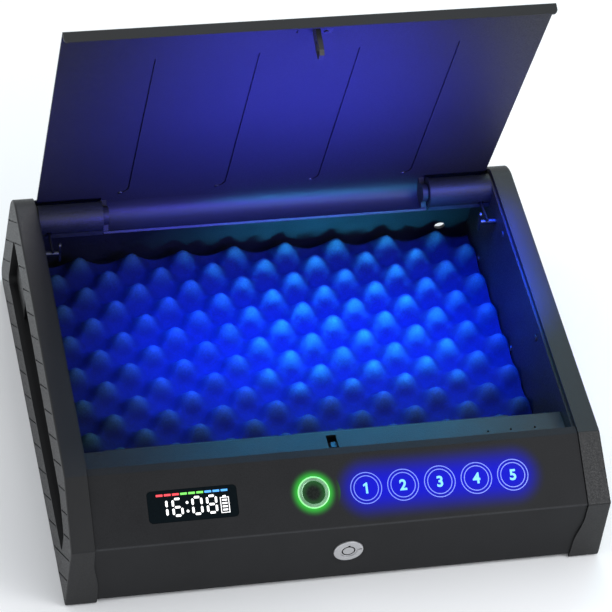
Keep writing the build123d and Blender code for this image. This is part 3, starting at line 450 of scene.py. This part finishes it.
# ---------------------------------------------------------------- display
SEGMENTS = {
    "a": (0, 1, True),
    "b": (1, 0.5, False),
    "c": (1, -0.5, False),
    "d": (0, -1, True),
    "e": (-1, -0.5, False),
    "f": (-1, 0.5, False),
    "g": (0, 0, True),
}
DIGITS = {"0": "abcdef", "1": "bc", "6": "acdefg", "8": "abcdefg"}
# The display's parts, in millimetres from the middle of the lens.
DIGIT_AT = (("1", -18.7), ("6", -9.4), ("0", 2.7), ("8", 11.7))
DIGIT_HALF = (2.7, 5.1)  # to the middle of a digit's outer segments
SEGMENT_HALF = (1.75, 0.72)  # half the length and half the width of one segment
SEGMENT_TIP = 0.3  # of its width, blunt at the ends
SEGMENT_SHOULDER = 0.74  # of its length, where the full width begins
UPRIGHT_STRETCH = 1.12  # an upright segment is this much longer than a level one
CLOCK_LINE = -1.05  # the height of the digits' middle
COLON = (-3.4, 2.4, -2.9, 0.85)  # across, the upper and lower dots' heights from CLOCK_LINE, radius
BATTERY = (17.1, 22.1, -6.8, 2.5)  # left, right, foot and top of the icon's frame
BATTERY_LINE = 0.45
BATTERY_CAP = (2.0, 0.9)
BATTERY_CAP_RISE = 0.75
BATTERY_LEVEL = (3.1, 1.05)  # one of four level marks
BATTERY_FIRST_LEVEL = 1.7
BATTERY_STEP = 2.0
BAR_SIZE = (4.1, 1.3)
BAR_STEP = 4.98
FIRST_BAR = (-19.9, 6.9)
PRINT_RISE = 0.66  # from the lens's middle, just clear of its face
PRINT_THICKNESS = 0.06
# The numbers on the keys.
KEY_ONE = [(0.95, 3.4), (0.0, 3.4), (-1.75, 2.2), (-1.75, 0.95), (-0.4, 1.75), (-0.4, -3.4), (0.95, -3.4)]
KEY_COUNT = 5
KEY_RADIUS = 9.945 * MM  # of a key's outer ring
KEY_TEXT_SIZE = 9.2 * MM
KEY_TEXT_WEIGHT = 0.27 * MM
KEY_TEXT_RISE = 0.21 * MM  # from the rings' middle, just clear of the panel
KEY_TEXT_THICKNESS = 0.03  # millimetres


def lozenge(x, y, level):
    """One lit segment: a bar with blunt pointed ends."""
    long, wide = SEGMENT_HALF
    tip, shoulder = SEGMENT_TIP * wide, SEGMENT_SHOULDER * long
    lower = [(-long, -tip), (-shoulder, -wide), (shoulder, -wide), (long, -tip)]
    outline = lower + [(-u, -v) for u, v in lower]
    if level:
        return [(x + u, y + v) for u, v in outline]
    return [(x - v, y + UPRIGHT_STRETCH * u) for u, v in outline]


def block(x, y, width, height):
    u, v = width / 2, height / 2
    return [(x - u, y - v), (x + u, y - v), (x + u, y + v), (x - u, y + v)]


def disc(x, y, radius):
    sides = 20
    steps = [2 * math.pi * i / sides for i in range(sides)]
    return [(x + radius * math.cos(a), y + radius * math.sin(a)) for a in steps]


def clock_digits():
    outlines = []
    for digit, x in DIGIT_AT:
        for name in DIGITS[digit]:
            side, height, level = SEGMENTS[name]
            outlines.append(lozenge(x + side * DIGIT_HALF[0], CLOCK_LINE + height * DIGIT_HALF[1], level))
    x, upper, lower, radius = COLON
    return outlines + [disc(x, CLOCK_LINE + upper, radius), disc(x, CLOCK_LINE + lower, radius)]


def battery_icon():
    left, right, foot, top = BATTERY
    middle, centre = (left + right) / 2, (top + foot) / 2
    outlines = [
        block(left, centre, BATTERY_LINE, top - foot + BATTERY_LINE),
        block(right, centre, BATTERY_LINE, top - foot + BATTERY_LINE),
        block(middle, top, right - left - BATTERY_LINE, BATTERY_LINE),
        block(middle, foot, right - left - BATTERY_LINE, BATTERY_LINE),
        block(middle, top + BATTERY_CAP_RISE, *BATTERY_CAP),
    ]
    for i in range(4):
        height = foot + BATTERY_FIRST_LEVEL + BATTERY_STEP * i
        outlines.append(block(middle, height, *BATTERY_LEVEL))
    return outlines


def make_display(white, bars):
    """Printed on the lens: the clock, the battery icon and three bars in each of the bars' colours."""
    low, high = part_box("display_lens")
    face = panel_frame((low + high) / 2 + PANEL_OUT * PRINT_RISE * MM)
    prints = [("clock_digits", clock_digits(), white), ("battery_icon", battery_icon(), white)]
    for index, (name, material) in enumerate(bars):
        x, y = FIRST_BAR
        row = [block(x + BAR_STEP * (3 * index + i), y, *BAR_SIZE) for i in range(3)]
        prints.append(("bars_" + name, row, material))
    for name, outlines, material in prints:
        plates(name, outlines, PRINT_THICKNESS, face, material, "case")


def text_mesh(body):
    """One character as a mesh, with its middle at the origin."""
    text = bpy.data.curves.new("key_digit", "FONT")
    text.body = body
    text.size = KEY_TEXT_SIZE
    text.align_x = "CENTER"
    text.align_y = "CENTER"
    text.offset = KEY_TEXT_WEIGHT
    text.extrude = KEY_TEXT_THICKNESS * MM
    holder = bpy.data.objects.new("key_digit", text)
    bpy.context.scene.collection.objects.link(holder)
    bpy.context.view_layer.update()
    shaped = holder.evaluated_get(bpy.context.evaluated_depsgraph_get())
    mesh = bpy.data.meshes.new_from_object(shaped)
    bpy.data.objects.remove(holder)
    xs = [v.co.x for v in mesh.vertices]
    ys = [v.co.y for v in mesh.vertices]
    middle = Vector((min(xs) + max(xs), min(ys) + max(ys), 0.0)) / 2
    mesh.transform(Matrix.Translation(-middle))
    return mesh


def make_key_digits(material):
    low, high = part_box("key_rings")
    middle = (low + high) / 2 + PANEL_OUT * KEY_TEXT_RISE
    step = (high.x - low.x - 2 * KEY_RADIUS) / (KEY_COUNT - 1)
    for index in range(KEY_COUNT):
        face = panel_frame(Vector((low.x + KEY_RADIUS + step * index, middle.y, middle.z)))
        if index == 0:
            plates("key_digit_1", [KEY_ONE], KEY_TEXT_THICKNESS, face, material, "case")
            continue
        mesh = text_mesh(str(index + 1))
        mesh.transform(face)
        link(f"key_digit_{index + 1}", mesh, material, "case")


# ---------------------------------------------------------------- lights and floor
def area_light(name, position, target, size, energy, colour, size_y=None, spread_angle=180.0):
    """A rectangle of light in watts, aimed at a target and unseen by the camera."""
    data = bpy.data.lights.new(name, "AREA")
    data.shape = "RECTANGLE"
    data.size = size
    data.size_y = size_y or size
    data.energy = energy
    data.color = colour
    data.spread = math.radians(spread_angle)
    light = bpy.data.objects.new(name, data)
    bpy.context.scene.collection.objects.link(light)
    light.location = position
    light.rotation_euler = (Vector(target) - Vector(position)).to_track_quat("-Z", "Y").to_euler()
    light.visible_camera = False
    return light


def make_stage():
    world = bpy.data.worlds.new("studio")
    world.use_nodes = True
    background = world.node_tree.nodes["Background"]
    background.inputs["Color"].default_value = (0.93, 0.96, 1.0, 1.0)
    background.inputs["Strength"].default_value = 0.78
    bpy.context.scene.world = world
    shape = bmesh.new()
    bmesh.ops.create_grid(shape, x_segments=2, y_segments=2, size=6.0)
    mesh = bpy.data.meshes.new("floor")
    shape.to_mesh(mesh)
    shape.free()
    floor = bpy.data.objects.new("floor", mesh)
    bpy.context.scene.collection.objects.link(floor)
    paper = Surface("floor_paper", 0.85, specular=0.2)
    paper.colour(paper.ramp(paper.noise(3.0), [(0.3, (0.93, 0.935, 0.94)), (0.7, (0.95, 0.95, 0.955))]))
    mesh.materials.append(paper.material)
    neutral, cool = (0.98, 0.99, 1.0), (0.97, 0.98, 1.0)
    white, warm, teal = (1.0, 1.0, 1.0), (1.0, 1.0, 0.99), (0.45, 0.95, 1.0)
    area_light("left_light", (-1.7, -0.1, 0.5), (-0.1, 0, 0.05), 0.9, 7.0, warm)
    area_light("front_light", (0.9, -1.2, 1.2), (0.1, 0, 0.1), 1.0, 3.5, neutral)
    area_light("panel_light", (0.4, -0.46, 0.66), (0.18, -0.13, 0.05), 0.3, 1.9, cool)
    area_light("back_light", (0.95, 1.35, 1.35), (0.12, 0, 0.1), 0.7, 4.5, teal)
    area_light("lip_light", (0.1, 0.7, 1.0), (0, 0.03, 0.29), 0.4, 3.5, white)


def make_inner_lights():
    """The light strip's glow, and small lights for what the open lid throws back, which close with it."""
    low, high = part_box("light_diffuser")
    strip = (low + high) / 2 + Vector((0, 0.003, 0))
    ahead = strip + Vector((0, 0.2, -0.03))
    area_light(
        "strip_cyan", strip, ahead, high.x - low.x, 0.34, (0.03, 0.42, 0.8), size_y=0.006, spread_angle=38.0
    )
    glows = [
        area_light(
            "lid_wash", (0.018, -0.04, 0.15), (0.0, 0.1, 0.185), 0.17, 1.4, (0.06, 0.06, 1.0),
            size_y=0.05, spread_angle=115.0,
        ),
        area_light(
            "lid_bounce", (0.05, 0.07, 0.165), (0.02, -0.09, 0.07), 0.2, 0.25, (0.04, 0.5, 1.0),
            size_y=0.05, spread_angle=120.0,
        ),
        area_light(
            "foam_wash", (0.03, 0.035, 0.13), (0.03, 0.044, 0.0), 0.25, 2.5, (0.0, 0.05, 1.0),
            size_y=0.1, spread_angle=80.0,
        ),
    ]
    for glow in glows:
        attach(glow, "lid")


# ---------------------------------------------------------------- the object
ACROSS = (1.0, 0.0, 0.0)
# The panel's painted glow: blue round the keys, green round the fingerprint ring.
KEYS_GLOW = (3.0 * MM, 22.0 * MM)
PANEL_SKIN = (0.8 * MM, 1.6 * MM)  # the keys' glow stays this close to the panel's face
RING_GLOW = (9.4 * MM, 16.5 * MM)
GREEN_TO_BLUE = (16.6 * MM, 16.8 * MM)  # the hue turns to the keys' blue here, past the green's end
GREEN, BLUE = (0.02, 0.5, 0.03), (0.001, 0.003, 0.68)


def panel_centre(node):
    """The middle of a node on the panel, as a plain tuple."""
    low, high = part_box(node)
    return tuple((low + high) / 2)


def keys_painted_glow(surface):
    """The panel's painted blue glow: 1 on its face close to the keys, fading to 0 round them."""
    low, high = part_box("key_rings")
    keys = panel_centre("key_rings")
    to_end_key = (high.x - low.x) / 2 - KEY_RADIUS
    height = surface.math("ABSOLUTE", surface.along(tuple(PANEL_OUT), keys))
    near = surface.fade(surface.near_line(keys, ACROSS, tuple(UP_SLOPE), to_end_key), *KEYS_GLOW)
    return surface.math("MULTIPLY", near, surface.fade(height, *PANEL_SKIN))


def make_bezel():
    """Textured black plastic with a painted blue glow round the keys and a painted green glow round the
    fingerprint ring; under the blue glow its base is painted nearly black.
    """
    tone = (0.019, 0.0193, 0.0205)
    surface = coated(
        "trim_plastic_panel", tone, 1900.0, 0.00005, 0.52, 0.08, shade=keys_painted_glow, fold=PANEL_FOLD
    )
    ring = panel_centre("fingerprint_ring")
    distance = surface.near_line(ring, ACROSS, tuple(UP_SLOPE), 0.0)
    green = surface.math("POWER", surface.fade(distance, *RING_GLOW), 2.2)
    blue = surface.math("POWER", keys_painted_glow(surface), 1.3)
    hue = surface.mix(surface.band(distance, *GREEN_TO_BLUE), GREEN, BLUE)
    surface.glow(hue, surface.math("MAXIMUM", blue, green))
    assign(surface.material, "front_bezel")


def make_fingerprint():
    """A polished ring with a lit green rim round a dark glass sensor; the ring's green tint, the dim green
    glow inside its rim and the green glow at the sensor's edge are painted light from the rim.
    """
    centre = panel_centre("fingerprint_ring")
    up = tuple(UP_SLOPE)
    # Painted light: the ring's green tint and the dim green glow inside its lit rim stand in for the rim's
    # light.
    ring = metal("ring_metal", (0.2, 0.34, 0.22), 0.2, (500, 500, 500))
    radius = ring.near_line(centre, ACROSS, up, 0.0)
    rim = ring.band(radius, 8.8 * MM, 9.5 * MM)
    hue = ring.mix(rim, (0.01, 0.12, 0.02), (0.3, 1.0, 0.32))
    ring.glow(hue, ring.band(radius, 8.6 * MM, 9.6 * MM, 0.5, 1.0))
    assign(ring.material, "fingerprint_ring")
    sensor = plastic("sensor_glass", (0.006, 0.009, 0.007), 0.25, 900.0, 0.000002, 0.12)
    # Painted light: a green glow from the ring on the sensor's edge.
    ring_green_spill = sensor.band(sensor.near_line(centre, ACROSS, up, 0.0), 3.0 * MM, 7.2 * MM)
    sensor.glow((0.02, 0.16, 0.03), sensor.math("MULTIPLY", ring_green_spill, 0.5))
    assign(sensor.material, "fingerprint_sensor")


def make_materials():
    # Painted shade: the cheeks' grip pockets are painted nearly black.
    shell = coated("shell_plastic", (0.009, 0.0092, 0.01), 1500.0, 0.00006, 0.48, 0.32, shade=grip_pocket_painted_shade)
    assign(shell.material, "cheek_left", "cheek_right")
    coat = coated("black_coat", (0.0105, 0.012, 0.0135), 1100.0, 0.00014, 0.46, 0.34, 0.6).material
    assign(coat, "side_plate_left", "side_plate_right", "side_rivets", "case_tray", "inner_front_wall")
    assign(coat, "hinge_cover_left", "hinge_cover_right")
    # Painted light: the striker and its rivets get a lighter copy of the black coat for the light they
    # catch.
    striker_lighter_coat = coated("striker_coat", (0.022, 0.022, 0.025), 1500.0, 0.00004, 0.36, 0.5).material
    assign(striker_lighter_coat, "striker", "striker_rivets")
    # Painted shade: the lid's grooves and slit are painted nearly black.
    lid = coated("black_coat_lid", (0.0125, 0.0128, 0.0142), 1300.0, 0.00005, 0.5, 0.32, 0.12, lid_groove_painted_shade)
    assign(lid.material, "lid_panel")
    trim = coated("trim_plastic", (0.01, 0.0103, 0.011), 1900.0, 0.00004, 0.5, 0.32).material
    assign(trim, "battery_holder", "battery_cover", "light_housing")
    assign(plastic("rubber", (0.02, 0.02, 0.02), 0.8, 900.0, 0.0001).material, "foot_pads")
    steel = metal("steel_bright", (0.5, 0.5, 0.52), 0.3, (400, 3000, 3000)).material
    assign(steel, "solenoid_plunger", "latch_spring", "hinge_pin_left", "hinge_pin_right")
    dark_steel = metal("spring_steel", (0.07, 0.075, 0.085), 0.4, (900, 2000, 2000)).material
    for side in ("left", "right"):
        assign(dark_steel, "torsion_spring_" + side, "spring_anchor_" + side)
    assign(dark_steel, "latch_bolt", "lid_rivets")
    zinc = metal("zinc_cam", (0.5, 0.49, 0.44), 0.36, (900, 900, 900)).material
    assign(zinc, "lock_nut", "lock_cam", "cam_screw", "solenoid_body")
    # Painted shade: what is sunk into the lock is painted nearly black.
    chrome = metal("lock_chrome", (0.54, 0.54, 0.55), 0.36, (700, 700, 1600), shade=key_socket_painted_shade).material
    assign(chrome, "lock_housing", "lock_plug")
    board = plastic("circuit_green", (0.02, 0.13, 0.05), 0.35, 700.0).material
    assign(board, "main_board", "touch_board")
    chips = plastic("chip_black", (0.02, 0.02, 0.022), 0.45).material
    assign(chips, "board_chips", "buzzer", "display_module")
    assign(plastic("cable_grey", (0.32, 0.33, 0.35), 0.5).material, "ribbon_cable")
    assign(plastic("cell_jacket", (0.045, 0.045, 0.05), 0.3).material, "battery_cells")
    assign(plastic("nylon_white", (0.6, 0.6, 0.57), 0.5).material, "board_posts")
    assign(plastic("nylon_black", (0.012, 0.012, 0.013), 0.45).material, "latch_guide")
    glass = plastic("screen_glass", (0.0015, 0.0045, 0.0065), 0.12, 900.0, 0.000002, 0.06).material
    assign(glass, "display_lens")
    rings = plastic("key_blue", (0.1, 0.13, 0.4), 0.3)
    rings.glow((0.11, 0.2, 0.95), 0.75)
    assign(rings.material, "key_rings", "touch_pads")
    lens = plastic("light_lens", (0.5, 0.6, 0.9), 0.4)
    lens.glow((0.05, 0.15, 1.0), 4.0)
    assign(lens.material, "light_diffuser")
    make_bezel()
    make_fingerprint()


def lit(name, colour, strength):
    """A shape that shines in one colour."""
    surface = plastic(name, tuple(0.5 * c for c in colour), 0.4)
    surface.glow(colour, strength)
    return surface.material


def make_foam_material():
    """Dark and bluish in the valleys, paler and greener on the tips: painted shade in the valleys and a
    painted highlight on the tips, by height.
    """
    foam = Surface("foam", 0.95, specular=0.12)
    pores = foam.cells(900.0)
    patches = foam.noise(60.0)
    shade = foam.math("MULTIPLY_ADD", pores, 0.55, foam.math("MULTIPLY", patches, 0.6))
    painted_highlight = foam.ramp(shade, [(0.25, (0.012, 0.034, 0.042)), (0.75, (0.022, 0.06, 0.075))])
    painted_valley_shade = foam.ramp(shade, [(0.25, (0.003, 0.005, 0.02)), (0.75, (0.005, 0.009, 0.036))])
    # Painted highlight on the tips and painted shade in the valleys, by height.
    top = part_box("foam_base")[1].z
    height = foam.band(foam.along((0, 0, 1)), top - 12.0 * MM, top - 0.5 * MM)
    tips = foam.math("POWER", height, 1.6)
    foam.colour(foam.mix(tips, painted_valley_shade, painted_highlight))
    for relief in (pores, foam.noise(350.0, 3.0)):
        foam.bump(relief, 0.2 * MM, 0.5)
    return foam.material


make_camera()
make_materials()
make_foam(make_foam_material())
make_latch_spring()
display_bars = [
    ("red", lit("lit_red", (1.0, 0.06, 0.08), 1.0)),
    ("green", lit("lit_green", (0.2, 0.85, 0.12), 0.9)),
    ("blue", lit("lit_blue", (0.08, 0.4, 1.0), 1.0)),
]
make_display(lit("lit_white", (1.0, 1.0, 1.0), 1.2), display_bars)
make_key_digits(lit("lit_cyan", (0.17, 0.56, 1.0), 1.0))
make_stage()
make_inner_lights()
bpy.context.scene.view_settings.view_transform = "Standard"
